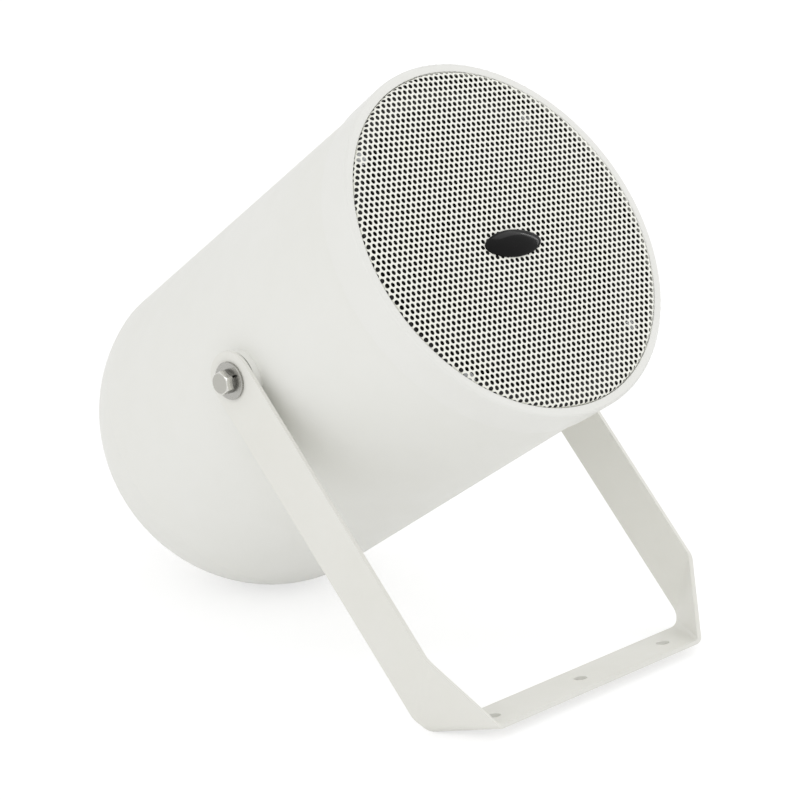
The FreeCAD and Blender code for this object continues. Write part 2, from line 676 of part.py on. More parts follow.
clamp_gap = block("clamp_gap", (-core_half, -clamp_half - EXTRA, transformer_seat - EXTRA),
                  (core_half, clamp_half + EXTRA, transformer_seat + d.ClampSheet + EXTRA))
finish(cut("clamp_folded", fuse("clamp_joined", clamp_hoop, cut("clamp_two_feet", clamp_feet, clamp_gap)),
           *[rod("clamp_hole", d.DriverScrewRadius + d.ScrewClearance, transformer_seat - EXTRA,
                 transformer_seat + d.ClampSheet + EXTRA, foot_place * side) for side in (1, -1)]),
       "transformer_clamp")
finish(group("transformer_screw_set",
             *[pan_screw("transformer_screw", transformer_seat + d.ClampSheet, d.TransformerScrewLength,
                         foot_place * side, 0) for side in (1, -1)]), "transformer_screws")

# Cable gland at the rear centre, with its seal open for a cable
gland_face = dome_end - d.GlandFlange
collar_end = gland_face - d.GlandCollar
gland_shell = fuse("gland_solid", hexagon("gland_hexagon", d.GlandFlats, gland_face, dome_end),
                   rod("gland_tail", d.GlandThread, collar_end, dome_end + d.GlandTail))
finish(cut("gland_bored", gland_shell, rod("gland_bore", d.GlandBore, collar_end - EXTRA,
                                           dome_end + d.GlandTail + EXTRA)), "gland_body")
nut_inner = d.GlandThread + d.GlandFit
nut_outer = nut_inner + d.GlandNutWall
nut_seat = gland_face - d.RunGap
nut_roof = collar_end - d.RunGap
nut_end = nut_roof - d.GlandNutCrown
finish(revolve("gland_nut", [
    (nut_inner, nut_seat),
    (nut_inner, nut_roof),
    (d.GlandNutMouth, nut_roof),
    (d.GlandNutMouth, nut_end),
    (nut_outer - d.GlandNutCrown, nut_end, d.GlandNutCrown),
    (nut_outer, nut_roof),
    (nut_outer, nut_seat),
]), "gland_nut")
finish(ring("gland_seal", d.GlandSealBore, d.GlandBore - d.GlandFit, collar_end, dome_end), "gland_seal")
locknut_top = dome_inside + d.LocknutThickness
finish(cut("locknut", hexagon("locknut_hexagon", d.LocknutFlats, dome_inside, locknut_top),
           rod("locknut_bore", nut_inner, dome_inside - EXTRA, locknut_top + EXTRA)), "gland_locknut")


def folded_strip():
    """Sections across the bracket strip, from the far pivot to the middle of the strap.

    A straight strip is folded twice at its corner. Both folds start from one rear corner and fan out to
    the front edge. Each section is its rear point, its front point and its outward normal.
    """
    width = d.StripWidth.value
    lean = math.radians(d.ArmLean.value)
    turn = math.radians(d.StrapTurn.value)
    rise = d.FoldRise.value
    down = FreeCAD.Vector(0, -math.cos(lean), math.sin(lean))
    forward = FreeCAD.Vector(0, math.sin(lean), math.cos(lean))
    strap_width = forward * math.cos(turn) + down * math.sin(turn)
    inward = -X_AXIS
    arm = X_AXIS * arm_inside.value
    corner = arm + down * d.ArmLength.value - forward * (width / 2)
    upper = corner - down * rise + forward * width
    # The strip's front edge keeps its length only if the second fold meets it this far in from the arm
    run = width * math.sin(turn) + width ** 2 * (1 - math.cos(turn)) / rise
    lower = corner + inward * run + strap_width * width
    facet = (lower - upper).normalize()

    def bend(apex, before, after, radius, share):
        """A point and its direction on an arc that rounds a corner."""
        angle = before.getAngle(after)
        tangent = radius * math.tan(angle / 2)
        sideways = (after - before * math.cos(angle)).normalize()
        centre = apex - before * tangent + sideways * radius
        swing = angle * share
        point = centre - sideways * (radius * math.cos(swing)) + before * (radius * math.sin(swing))
        return point, before * math.cos(swing) + sideways * math.sin(swing)

    first_fold = down.getAngle(facet)
    second_fold = facet.getAngle(inward)
    first_share = first_fold / (first_fold + second_fold)
    facet_share = 0.04
    steps = 6
    sections = [(arm - forward * (width / 2), arm + forward * (width / 2), X_AXIS)]
    folds = ((upper, down, facet, d.UpperBend.value, 0, first_share - facet_share / 2),
             (lower, facet, inward, d.LowerBend.value, first_share + facet_share / 2, 1))
    for apex, before, after, radius, rear_from, rear_to in folds:
        for step in range(steps + 1):
            share = step / steps
            front, heading = bend(apex, before, after, radius, share)
            rear_share = rear_from + (rear_to - rear_from) * share
            rear, rear_heading = bend(corner, down, inward, d.RearBend.value, rear_share)
            outward = (front - rear).cross(heading + rear_heading).normalize()
            sections.append((rear, front, outward))
    rear, front, outward = sections[-1]
    sections.append((FreeCAD.Vector(0, rear.y, rear.z), FreeCAD.Vector(0, front.y, front.z), outward))
    return sections


def mirrored(vector):
    return FreeCAD.Vector(-vector.x, vector.y, vector.z)


def bracket_shape():
    thickness = d.StripThickness.value
    half = folded_strip()

    def flat(corners, outward):
        """A flat stretch of the strip, from the corners of its inner face."""
        return Part.Face(Part.makePolygon(corners + corners[:1])).extrude(outward * thickness)

    def folds(sections):
        """The stretch between arm and strap, ruled from section to section."""
        wires = []
        for rear, front, outward in sections:
            out = outward * thickness
            wires.append(Part.makePolygon([rear, front, front + out, rear + out, rear]))
        return Part.makeLoft(wires, True, True)

    top, bend_start, bend_end = half[0], half[1], half[-2]
    arm = [top[0], top[1], bend_start[1], bend_start[0]]
    strap_end = [bend_end[0], bend_end[1]]
    other_end = [mirrored(bend_end[1]), mirrored(bend_end[0])]
    strip = flat(strap_end + other_end, bend_end[2]).fuse([
        flat(arm, top[2]),
        flat([mirrored(corner) for corner in arm], mirrored(top[2])),
        folds(half[1:-1]),
        folds([tuple(mirrored(vector) for vector in section) for section in half[1:-1]]),
    ])
    eyes = []
    holes = []
    for side in (1, -1):
        inner = X_AXIS * (arm_inside.value * side)
        outward = X_AXIS * side
        eyes.append(Part.makeCylinder(d.StripWidth.value / 2, thickness, inner, outward))
        holes.append(Part.makeCylinder(d.PivotRadius.value + d.PivotFit.value, thickness + EXTRA * 2,
                                       inner - outward * EXTRA, outward))
    rear, front, outward = half[-1]
    for place in (-1, 0, 1):
        centre = (rear + front) * 0.5 + X_AXIS * (place * d.StrapHoleSpacing.value)
        holes.append(Part.makeCylinder(d.StrapHoleRadius.value, thickness + EXTRA * 2,
                                       centre - outward * EXTRA, outward))
    return strip.fuse(eyes).cut(holes).removeSplitter()


# Bracket: one folded strip, which no sketch feature makes, so its solid is built from its sections
bracket = doc.addObject("Part::Feature", "bracket_strip")
bracket.Shape = bracket_shape()
finish(bracket, "u_bracket")


def check_all():
    """Stop at any feature that failed, and at any piece without a valid solid."""
    faults = [item.Label for item in doc.Objects if "Invalid" in item.State or "Error" in item.State]
    faults += [piece.Label for piece in finished
               if piece.Shape.isNull() or not piece.Shape.isValid() or not piece.Shape.Solids]
    if faults:
        raise RuntimeError("not built: " + ", ".join(faults))


doc.recompute()
check_all()

# Stand the speaker on its dome and on the strap's rear edge, with the origin under the middle of its box
rear, front, outward = folded_strip()[-1]
foot = rear + outward * d.StripThickness.value
dome_centre = FreeCAD.Vector(0, -d.RearFlat.value, dome_end.value + dome_arc.value)
lever = dome_centre - foot
rise_angle = math.atan2(lever.z, lever.y) + math.acos(dome_arc.value / lever.Length)
stance = FreeCAD.Rotation(X_AXIS, 90 - math.degrees(rise_angle))
stand = FreeCAD.Placement(FreeCAD.Vector(), stance)
box = FreeCAD.BoundBox()
for piece in finished:
    shape = piece.Shape.copy()
    shape.Placement = stand.multiply(shape.Placement)
    box.add(shape.optimalBoundingBox(False, False))
stand.Base = FreeCAD.Vector(-box.Center.x, -box.Center.y, -box.ZMin)
for piece in finished:
    piece.Placement = stand.multiply(piece.Placement)
doc.recompute()

check_all()
os.makedirs("parts", exist_ok=True)
for piece in finished:
    piece.Shape.exportStep(os.path.join("parts", piece.Label + ".step"))
print("axis raised %.3f degrees, pivot at %s" % (math.degrees(rise_angle), tuple(stand.Base)))
print("box %.2f x %.2f x %.2f mm, %d pieces" % (box.XLength, box.YLength, box.ZLength, len(finished)))
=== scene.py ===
import json
import math

import bmesh
import bpy
from mathutils import Matrix, Vector
from mathutils.geometry import delaunay_2d_cdt


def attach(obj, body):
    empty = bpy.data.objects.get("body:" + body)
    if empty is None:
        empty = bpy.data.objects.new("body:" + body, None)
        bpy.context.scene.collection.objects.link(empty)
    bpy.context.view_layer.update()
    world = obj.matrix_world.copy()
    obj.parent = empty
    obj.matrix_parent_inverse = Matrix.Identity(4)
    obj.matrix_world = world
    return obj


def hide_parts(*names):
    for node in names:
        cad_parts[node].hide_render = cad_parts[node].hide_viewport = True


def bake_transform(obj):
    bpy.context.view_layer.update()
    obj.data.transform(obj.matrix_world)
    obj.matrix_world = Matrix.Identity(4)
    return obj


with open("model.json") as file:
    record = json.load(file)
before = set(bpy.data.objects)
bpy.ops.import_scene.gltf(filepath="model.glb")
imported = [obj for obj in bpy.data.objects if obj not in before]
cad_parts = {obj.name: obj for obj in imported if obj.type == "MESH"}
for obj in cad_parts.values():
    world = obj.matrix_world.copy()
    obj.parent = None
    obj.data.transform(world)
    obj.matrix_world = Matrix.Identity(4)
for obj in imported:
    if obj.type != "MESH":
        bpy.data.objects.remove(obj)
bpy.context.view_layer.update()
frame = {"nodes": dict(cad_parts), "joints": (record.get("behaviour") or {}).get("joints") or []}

# The speaker as it stands: propped on its rear dome and on its bracket, with the grille looking up and out.
# Its own frame starts at the middle of the pivot axis, with X along that axis and Z out of the grille.
nodes = frame["nodes"]
joints = {joint["name"]: joint for joint in frame["joints"]}
pivot_middle = Vector(joints["bracket_tilt"]["pos_m"])
front_way = Vector(joints["cone_stroke"]["axis"]).normalized()
side_way = Vector((1, 0, 0))
crown_way = front_way.cross(side_way)
speaker_turn = Matrix((side_way, crown_way, front_way)).transposed()
speaker_frame = Matrix.Translation(pivot_middle) @ speaker_turn.to_4x4()


def corners_of(node, turn=0.0):
    """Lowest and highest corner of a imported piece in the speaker's frame, turned about its Z."""
    back = Matrix.Rotation(-turn, 4, "Z") @ speaker_frame.inverted()
    places = [back @ vertex.co for vertex in nodes[node].data.vertices]
    return [Vector([pick(place[axis] for place in places) for axis in range(3)]) for pick in (min, max)]


def radii_of(node):
    """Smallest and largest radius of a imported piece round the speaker's axis."""
    back = speaker_frame.inverted()
    radii = [(back @ vertex.co).xy.length for vertex in nodes[node].data.vertices]
    return min(radii), max(radii)


# Housing shell: one moulding in white ABS, a tapered tube with a domed rear and a boss at each pivot.
# The mould was spark eroded, so the plastic has a fine satin grain, and its white drifts a little with age.
SHELL_WHITE = (0.80, 0.80, 0.765, 1)
SHELL_AGED = (0.785, 0.785, 0.745, 1)
SHELL_GRAIN = 2600.0
SHELL_GLOSS = (0.42, 0.52)
SHELL_RELIEF = 0.00002
CLOUD_SCALE = 13.0
SMEAR_SCALE = 75.0
SMEAR_DRIFT = 0.08


def new_group(name, inputs, outputs):
    """An empty shader node group with named sockets."""
    group = bpy.data.node_groups.new(name, "ShaderNodeTree")
    for way, sockets in (("INPUT", inputs), ("OUTPUT", outputs)):
        for socket, kind, value in sockets:
            made = group.interface.new_socket(socket, in_out=way, socket_type="NodeSocket" + kind)
            if value is not None:
                made.default_value = value
    return group, group.nodes.new("NodeGroupInput").outputs, group.nodes.new("NodeGroupOutput").inputs


def feed(tree, socket, value):
    """Set a socket to a plain value, or link another socket to it."""
    if isinstance(value, bpy.types.NodeSocket):
        tree.links.new(value, socket)
    else:
        socket.default_value = value


def noise(tree, place, scale, detail=2.0, roughness=0.5):
    """Cloudy values about 0.5, over a place on the surface."""
    texture = tree.nodes.new("ShaderNodeTexNoise")
    sockets = {"Vector": place, "Scale": scale, "Detail": detail, "Roughness": roughness}
    for name, value in sockets.items():
        feed(tree, texture.inputs[name], value)
    return texture.outputs["Fac"]


def spread(tree, value, low, high, from_low=0.3, from_high=0.7):
    """A value carried over to a new range."""
    carry = tree.nodes.new("ShaderNodeMapRange")
    sockets = {"Value": value, "From Min": from_low, "From Max": from_high, "To Min": low, "To Max": high}
    for name, limit in sockets.items():
        feed(tree, carry.inputs[name], limit)
    return carry.outputs["Result"]


def tint(tree, mask, first, second):
    """A colour between two others, by a mask."""
    mix = tree.nodes.new("ShaderNodeMix")
    mix.data_type = "RGBA"
    for socket, value in zip((mix.inputs[0], mix.inputs[6], mix.inputs[7]), (mask, first, second)):
        feed(tree, socket, value)
    return mix.outputs[2]


def joined(tree, first, second, operation="ADD"):
    """Two values joined by a plain operation."""
    maths = tree.nodes.new("ShaderNodeMath")
    maths.operation = operation
    feed(tree, maths.inputs[0], first)
    feed(tree, maths.inputs[1], second)
    return maths.outputs[0]


def object_place(tree):
    return tree.nodes.new("ShaderNodeTexCoord").outputs["Object"]


def make_satin_skin():
    """A moulded or sprayed skin: fine grain, cloudy gloss and a slow drift of tone."""
    group, given, out = new_group(
        "satin_skin",
        [("Colour", "Color", (0.8, 0.8, 0.8, 1)), ("Aged", "Color", (0.76, 0.76, 0.72, 1)),
         ("Grain", "Float", 2200.0), ("Smoothest", "Float", 0.38), ("Roughest", "Float", 0.5)],
        [("Colour", "Color", None), ("Roughness", "Float", None), ("Height", "Float", None)])
    place = object_place(group)
    grain = noise(group, place, given["Grain"], 3.0, 0.6)
    clouds = noise(group, place, CLOUD_SCALE, 3.0)
    smears = noise(group, place, SMEAR_SCALE, 4.0, 0.65)
    aged = spread(group, joined(group, clouds, spread(group, smears, -SMEAR_DRIFT, SMEAR_DRIFT)), 0.0, 1.0)
    feed(group, out["Colour"], tint(group, aged, given["Colour"], given["Aged"]))
    feed(group, out["Roughness"], spread(group, smears, given["Smoothest"], given["Roughest"]))
    feed(group, out["Height"], grain)
    return group


satin_skin = make_satin_skin()


def new_material(name):
    """A material with its shader, ready to be linked up."""
    material = bpy.data.materials.new(name)
    material.use_nodes = True
    return material, material.node_tree, material.node_tree.nodes["Principled BSDF"]


def place_group(tree, group, **values):
    """A group placed in a material, with its own values."""
    placed = tree.nodes.new("ShaderNodeGroup")
    placed.node_tree = group
    for name, value in values.items():
        feed(tree, placed.inputs[name.title()], value)
    return placed.outputs


def raise_bump(tree, shader, height, distance):
    """Relief on a shader, its height in metres."""
    bump = tree.nodes.new("ShaderNodeBump")
    bump.inputs["Distance"].default_value = distance
    feed(tree, bump.inputs["Height"], height)
    feed(tree, shader.inputs["Normal"], bump.outputs["Normal"])


def link_skin(tree, shader, skin, relief):
    """Colour, gloss and relief from a placed group to a shader."""
    feed(tree, shader.inputs["Base Color"], skin["Colour"])
    feed(tree, shader.inputs["Roughness"], skin["Roughness"])
    raise_bump(tree, shader, skin["Height"], relief)


def satin(name, colour, aged, grain, gloss, relief):
    """A moulding or a coat of paint."""
    material, tree, shader = new_material(name)
    skin = place_group(tree, satin_skin, colour=colour, aged=aged, grain=grain, smoothest=gloss[0],
                       roughest=gloss[1])
    link_skin(tree, shader, skin, relief)
    return material


def dress(material, *names):
    """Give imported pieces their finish."""
    for name in names:
        for slot in nodes[name].material_slots:
            slot.material = material


shell_abs = satin("shell_abs", SHELL_WHITE, SHELL_AGED, SHELL_GRAIN, SHELL_GLOSS, SHELL_RELIEF)
dress(shell_abs, "housing_shell")

# Pivot inserts: turned brass bushes with a rolled grip, pressed hot into the bosses of the shell.
# The turning leaves fine rings round the pivot axis.
BRASS = ((0.62, 0.43, 0.17, 1), (0.45, 0.30, 0.12, 1))
BRASS_GLOSS = (0.25, 0.38)
TURNING_PITCH = 0.00022
TURNING_RELIEF = 0.00001
WANDER_SCALE = 260.0
WANDER = 0.25
SMUDGE_SCALE = 420.0


def make_ring_marks():
    """Fine lines at a spacing along a place, uneven as a tool or a wound wire leaves them."""
    group, given, out = new_group(
        "ring_marks",
        [("Place", "Float", 0.0), ("Spacing", "Float", 0.001), ("Colour", "Color", (0.6, 0.6, 0.6, 1)),
         ("Shade", "Color", (0.3, 0.3, 0.3, 1)), ("Smoothest", "Float", 0.25), ("Roughest", "Float", 0.4)],
        [("Colour", "Color", None), ("Roughness", "Float", None), ("Height", "Float", None)])
    place = object_place(group)
    wander = spread(group, noise(group, place, WANDER_SCALE, 2.0), -WANDER, WANDER)
    turns = joined(group, joined(group, given["Place"], given["Spacing"], "DIVIDE"), wander)
    height = joined(group, joined(group, turns, 0.5, "PINGPONG"), 2.0, "MULTIPLY")
    cloud = noise(group, place, SMUDGE_SCALE, 4.0, 0.6)
    shade = spread(group, joined(group, height, cloud), 1.0, 0.0, 0.3, 1.3)
    feed(group, out["Colour"], tint(group, shade, given["Colour"], given["Shade"]))
    feed(group, out["Roughness"], spread(group, cloud, given["Smoothest"], given["Roughest"]))
    feed(group, out["Height"], height)
    return group


ring_marks = make_ring_marks()


def vector_step(tree, operation, first, second=None, result="Vector"):
    step = tree.nodes.new("ShaderNodeVectorMath")
    step.operation = operation
    feed(tree, step.inputs[0], first)
    if second is not None:
        feed(tree, step.inputs[1], second)
    return step.outputs[result]


def place_along(tree, way):
    """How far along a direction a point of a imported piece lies."""
    return vector_step(tree, "DOT_PRODUCT", object_place(tree), tuple(way), "Value")


def place_round(tree, way):
    """How far from an axis through the pivot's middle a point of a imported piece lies."""
    reach = vector_step(tree, "SUBTRACT", object_place(tree), tuple(pivot_middle))
    return vector_step(tree, "LENGTH", vector_step(tree, "CROSS_PRODUCT", reach, tuple(way)), None, "Value")


def marked(name, measure, way, spacing, colours, gloss, relief, metallic=1.0):
    """Metal or winding with fine lines, spaced along or round a direction."""
    material, tree, shader = new_material(name)
    skin = place_group(tree, ring_marks, place=measure(tree, way), spacing=spacing, colour=colours[0],
                       shade=colours[1], smoothest=gloss[0], roughest=gloss[1])
    link_skin(tree, shader, skin, relief)
    shader.inputs["Metallic"].default_value = metallic
    return material


turned_brass = marked("turned_brass", place_round, side_way, TURNING_PITCH, BRASS, BRASS_GLOSS,
                      TURNING_RELIEF)
dress(turned_brass, "pivot_inserts")

# Line transformer: a stack of varnished iron sheets with a taped winding, held on two posts of the shell.
# A folded strip of zinc-plated steel clamps it down with two screws.
LAMINATION = 0.0005
TAPE_LAP = 0.006
IRON = ((0.16, 0.145, 0.13, 1), (0.05, 0.045, 0.04, 1))
TAPE = ((0.70, 0.52, 0.10, 1), (0.58, 0.41, 0.07, 1))
ZINC = ((0.66, 0.67, 0.68, 1), (0.56, 0.57, 0.57, 1))
ZINC_GRAIN = 0.0004
IRON_GLOSS = (0.4, 0.6)
IRON_RELIEF = 0.00005
IRON_METAL = 0.4
TAPE_GLOSS = (0.3, 0.45)
TAPE_RELIEF = 0.00008
ZINC_GLOSS = (0.25, 0.4)
ZINC_RELIEF = 0.000006
core_sheets = marked("core_sheets", place_along, crown_way, LAMINATION, IRON, IRON_GLOSS, IRON_RELIEF,
                     IRON_METAL)
dress(core_sheets, "transformer_core")
winding_tape = marked("winding_tape", place_along, front_way, TAPE_LAP, TAPE, TAPE_GLOSS, TAPE_RELIEF, 0.0)
dress(winding_tape, "transformer_coil")
zinc_plate = marked("zinc_plate", place_along, crown_way, ZINC_GRAIN, ZINC, ZINC_GLOSS, ZINC_RELIEF)
dress(zinc_plate, "transformer_clamp", "transformer_screws")

# Cable gland: a white nylon body and locknut through the middle of the dome, with a seal and a cap nut.
# The cap nut is fluted for the fingers, and open, because no cable is fitted.
GLAND_WHITE = (0.74, 0.74, 0.71, 1)
GLAND_AGED = (0.70, 0.70, 0.66, 1)
GLAND_GRAIN = 1400.0
GLAND_GLOSS = (0.34, 0.46)
GLAND_RELIEF = 0.00002
NUT_WALL = 0.0026
NUT_CROWN = 0.0034
NUT_BEVEL = 0.0004
NUT_SIDES = 180
CROWN_STEPS = 8
FLUTES = 18
FLUTE_DEPTH = 0.00045
PATCH_SCALE = 40.0
PATCH_DRIFT = 0.1
FLECK_RANGE = (0.42, 0.66)
SMOOTH_BELOW = math.radians(35.0)


def new_piece(name, mesh, material, replaced, body="speaker", place=speaker_frame, even=False):
    """A piece of its own, from a mesh under construction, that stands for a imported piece."""
    bmesh.ops.recalc_face_normals(mesh, faces=mesh.faces)
    data = bpy.data.meshes.new(name)
    mesh.to_mesh(data)
    mesh.free()
    data.shade_smooth()
    data.set_sharp_from_angle(angle=SMOOTH_BELOW)
    data.materials.append(material)
    piece = bpy.data.objects.new(name, data)
    bpy.context.scene.collection.objects.link(piece)
    piece.matrix_world = place
    if even:
        piece.modifiers.new("even_normals", "WEIGHTED_NORMAL").keep_sharp = True
    if body:
        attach(piece, body)
    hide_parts(replaced)
    return piece


def skin_rings(mesh, rings, closed):
    """Quads between rings of points, each ring closed on itself."""
    made = [[mesh.verts.new(point) for point in ring] for ring in rings]
    pairs = list(zip(made, made[1:])) + ([(made[-1], made[0])] if closed else [])
    for lower, upper in pairs:
        for step in range(len(lower)):
            after = (step + 1) % len(lower)
            mesh.faces.new((lower[step], lower[after], upper[after], upper[step]))
    return made


def fluted_nut():
    """The cap nut, turned from its section, with shallow flutes down its side."""
    mouth, outer = radii_of("gland_nut")
    low, high = corners_of("gland_nut")
    thread = outer - NUT_WALL
    roof = low.z + NUT_CROWN
    section = [(thread, high.z, 0), (thread, roof, 0), (mouth, roof, 0), (mouth, low.z, 0)]
    for step in range(CROWN_STEPS + 1):
        angle = math.pi / 2 * step / CROWN_STEPS
        radius = outer - NUT_CROWN * (1 - math.sin(angle))
        section.append((radius, roof - NUT_CROWN * math.cos(angle), step / CROWN_STEPS))
    section += [(outer, high.z - NUT_BEVEL, 1), (outer - NUT_BEVEL, high.z, 1)]
    rings = []
    for radius, height, share in section:
        ring = []
        for step in range(NUT_SIDES):
            angle = 2 * math.pi * step / NUT_SIDES
            reach = radius - FLUTE_DEPTH * share * (0.5 + 0.5 * math.cos(FLUTES * angle))
            ring.append((reach * math.cos(angle), reach * math.sin(angle), height))
        rings.append(ring)
    mesh = bmesh.new()
    skin_rings(mesh, rings, True)
    return mesh


gland_nylon = satin("gland_nylon", GLAND_WHITE, GLAND_AGED, GLAND_GRAIN, GLAND_GLOSS, GLAND_RELIEF)
dress(gland_nylon, "gland_body", "gland_locknut")
new_piece("fluted_gland_nut", fluted_nut(), gland_nylon, "gland_nut")


def make_fleck():
    """A matt body with flecks and pores: rubber, foam, paper or ferrite."""
    group, given, out = new_group(
        "fleck",
        [("Colour", "Color", (0.03, 0.03, 0.03, 1)), ("Fleck", "Color", (0.06, 0.06, 0.06, 1)),
         ("Scale", "Float", 900.0), ("Stretch", "Vector", (1, 1, 1)), ("Smoothest", "Float", 0.5),
         ("Roughest", "Float", 0.8)],
        [("Colour", "Color", None), ("Roughness", "Float", None), ("Height", "Float", None)])
    place = vector_step(group, "MULTIPLY", object_place(group), given["Stretch"])
    body = noise(group, place, given["Scale"], 5.0, 0.65)
    cloud = noise(group, place, PATCH_SCALE, 3.0)
    patchy = joined(group, body, spread(group, cloud, -PATCH_DRIFT, PATCH_DRIFT))
    mask = spread(group, patchy, 0.0, 1.0, *FLECK_RANGE)
    feed(group, out["Colour"], tint(group, mask, given["Colour"], given["Fleck"]))
    feed(group, out["Roughness"], spread(group, body, given["Smoothest"], given["Roughest"]))
    feed(group, out["Height"], body)
    return group


fleck = make_fleck()


def flecked(name, colours, scale, gloss, relief, stretch=(1, 1, 1), sheen=0.5):
    """A matt material with flecks."""
    material, tree, shader = new_material(name)
    skin = place_group(tree, fleck, colour=colours[0], fleck=colours[1], scale=scale, stretch=stretch,
                       smoothest=gloss[0], roughest=gloss[1])
    link_skin(tree, shader, skin, relief)
    shader.inputs["Specular IOR Level"].default_value = sheen
    return material


SEAL_BLACK = ((0.018, 0.018, 0.018, 1), (0.035, 0.034, 0.033, 1))
SEAL_GRAIN = 1500.0
RUBBER_GLOSS = (0.5, 0.7)
RUBBER_RELIEF = 0.00002
dress(flecked("seal_rubber", SEAL_BLACK, SEAL_GRAIN, RUBBER_GLOSS, RUBBER_RELIEF), "gland_seal")

# Driver gasket and basket: a ring of black foam under a pressed steel basket with four windows, stoved black.
# Four pan-head screws hold both to the pillars of the shell.
FOAM = ((0.012, 0.012, 0.012, 1), (0.05, 0.05, 0.05, 1))
STOVED_BLACK = (0.014, 0.014, 0.015, 1)
STOVED_WORN = (0.024, 0.024, 0.024, 1)
FOAM_GRAIN = 2600.0
FOAM_GLOSS = (0.85, 1.0)
FOAM_RELIEF = 0.0002
STOVED_GRAIN = 900.0
STOVED_GLOSS = (0.3, 0.45)
STOVED_RELIEF = 0.00002
dress(flecked("gasket_foam", FOAM, FOAM_GRAIN, FOAM_GLOSS, FOAM_RELIEF), "driver_gasket")
dress(satin("basket_paint", STOVED_BLACK, STOVED_WORN, STOVED_GRAIN, STOVED_GLOSS, STOVED_RELIEF),
      "driver_basket")
dress(zinc_plate, "driver_screws")

# Motor: a ground ferrite ring glued between a zinc-plated top plate and a yoke, under the basket's floor.
# The plates are turned, and the ferrite is pressed and fired.
FERRITE = ((0.035, 0.035, 0.037, 1), (0.075, 0.074, 0.072, 1))
FERRITE_GRAIN = 700.0
FERRITE_GLOSS = (0.45, 0.65)
FERRITE_RELIEF = 0.00003
dress(flecked("ground_ferrite", FERRITE, FERRITE_GRAIN, FERRITE_GLOSS, FERRITE_RELIEF), "magnet")
turned_zinc = marked("turned_zinc", place_round, front_way, TURNING_PITCH, ZINC, ZINC_GLOSS, TURNING_RELIEF)
dress(turned_zinc, "top_plate", "yoke")

# Moving system: a pressed paper cone and its dust cap on a foil former, with an enamelled copper coil.
# The paper is doped dark and nearly matt, with its fibres showing.
DOPED_PAPER = ((0.007, 0.007, 0.007, 1), (0.015, 0.015, 0.014, 1))
PAPER_GRAIN = 1100.0
PAPER_GLOSS = (0.5, 0.7)
PAPER_RELIEF = 0.00006
PAPER_FIBRE = (1, 0.35, 1)
PAPER_SHEEN = 0.15
WIRE_PITCH = 0.0003
COPPER = ((0.60, 0.26, 0.10, 1), (0.28, 0.10, 0.04, 1))
FOIL = ((0.74, 0.74, 0.75, 1), (0.60, 0.60, 0.61, 1))
FOIL_CREASE = 0.0011
COPPER_GLOSS = (0.25, 0.35)
COPPER_RELIEF = 0.0001
FOIL_GLOSS = (0.2, 0.3)
FOIL_RELIEF = 0.00001
doped_paper = flecked("doped_paper", DOPED_PAPER, PAPER_GRAIN, PAPER_GLOSS, PAPER_RELIEF, PAPER_FIBRE,
                      PAPER_SHEEN)
dress(doped_paper, "cone", "dust_cap")
wound_copper = marked("wound_copper", place_along, front_way, WIRE_PITCH, COPPER, COPPER_GLOSS, COPPER_RELIEF)
dress(wound_copper, "voice_coil")
former_foil = marked("former_foil", place_along, front_way, FOIL_CREASE, FOIL, FOIL_GLOSS, FOIL_RELIEF)
dress(former_foil, "coil_former")

# Suspension: a half roll of black rubber round the cone, and a pleated spider of stiffened cloth at its neck.
# The cloth is a plain weave, dyed brown by its resin. Both are glued to the basket outside and to the cone's
# system inside, over the widths given here.
SPIDER_CLOTH = ((0.42, 0.29, 0.12, 1), (0.24, 0.16, 0.06, 1))
THREAD_PITCH = 0.0006
CLOTH_GLOSS = (0.65, 0.9)
CLOTH_RELIEF = 0.0002
ROLL_GRAIN = 1300.0
ROLL_SHEEN = 0.15
ROLL_BLACK = ((0.008, 0.008, 0.008, 1), (0.016, 0.016, 0.016, 1))
ROLL_GLUE = (0.00125, 0.0025)
SPIDER_GLUE = (0.001, 0.007)


def bending_ring(name, node, material, glue):
    """A ring between basket and cone; each point's share of the cone's travel is worked out by radius, not
    kept.
    """
    inner, outer = radii_of(node)
    still = outer - glue[1]
    moving = inner + glue[0]
    mesh = bmesh.new()
    mesh.from_mesh(nodes[node].data)
    ring = new_piece(name, mesh, material, node, None, Matrix.Identity(4))
    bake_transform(ring)
    back = speaker_frame.inverted()
    for vertex in ring.data.vertices:
        share = (still - (back @ vertex.co).xy.length) / (still - moving)
        share = min(max(share, 0.0), 1.0)


roll_rubber = flecked("roll_rubber", ROLL_BLACK, ROLL_GRAIN, RUBBER_GLOSS, RUBBER_RELIEF, sheen=ROLL_SHEEN)
bending_ring("rubber_surround", "surround", roll_rubber, ROLL_GLUE)


def woven_cloth():
    """Warp and weft, from lines along and across the speaker."""
    material, tree, shader = new_material("spider_cloth")
    turns = [joined(tree, place_along(tree, way), THREAD_PITCH, "DIVIDE") for way in (side_way, crown_way)]
    threads = [joined(tree, turn, 0.5, "PINGPONG") for turn in turns]
    weave = joined(tree, threads[0], threads[1])
    feed(tree, shader.inputs["Base Color"], tint(tree, weave, SPIDER_CLOTH[1], SPIDER_CLOTH[0]))
    feed(tree, shader.inputs["Roughness"], spread(tree, weave, CLOTH_GLOSS[1], CLOTH_GLOSS[0], 0.0, 1.0))
    raise_bump(tree, shader, weave, CLOTH_RELIEF)
    return material


bending_ring("cloth_spider", "spider", woven_cloth(), SPIDER_GLUE)

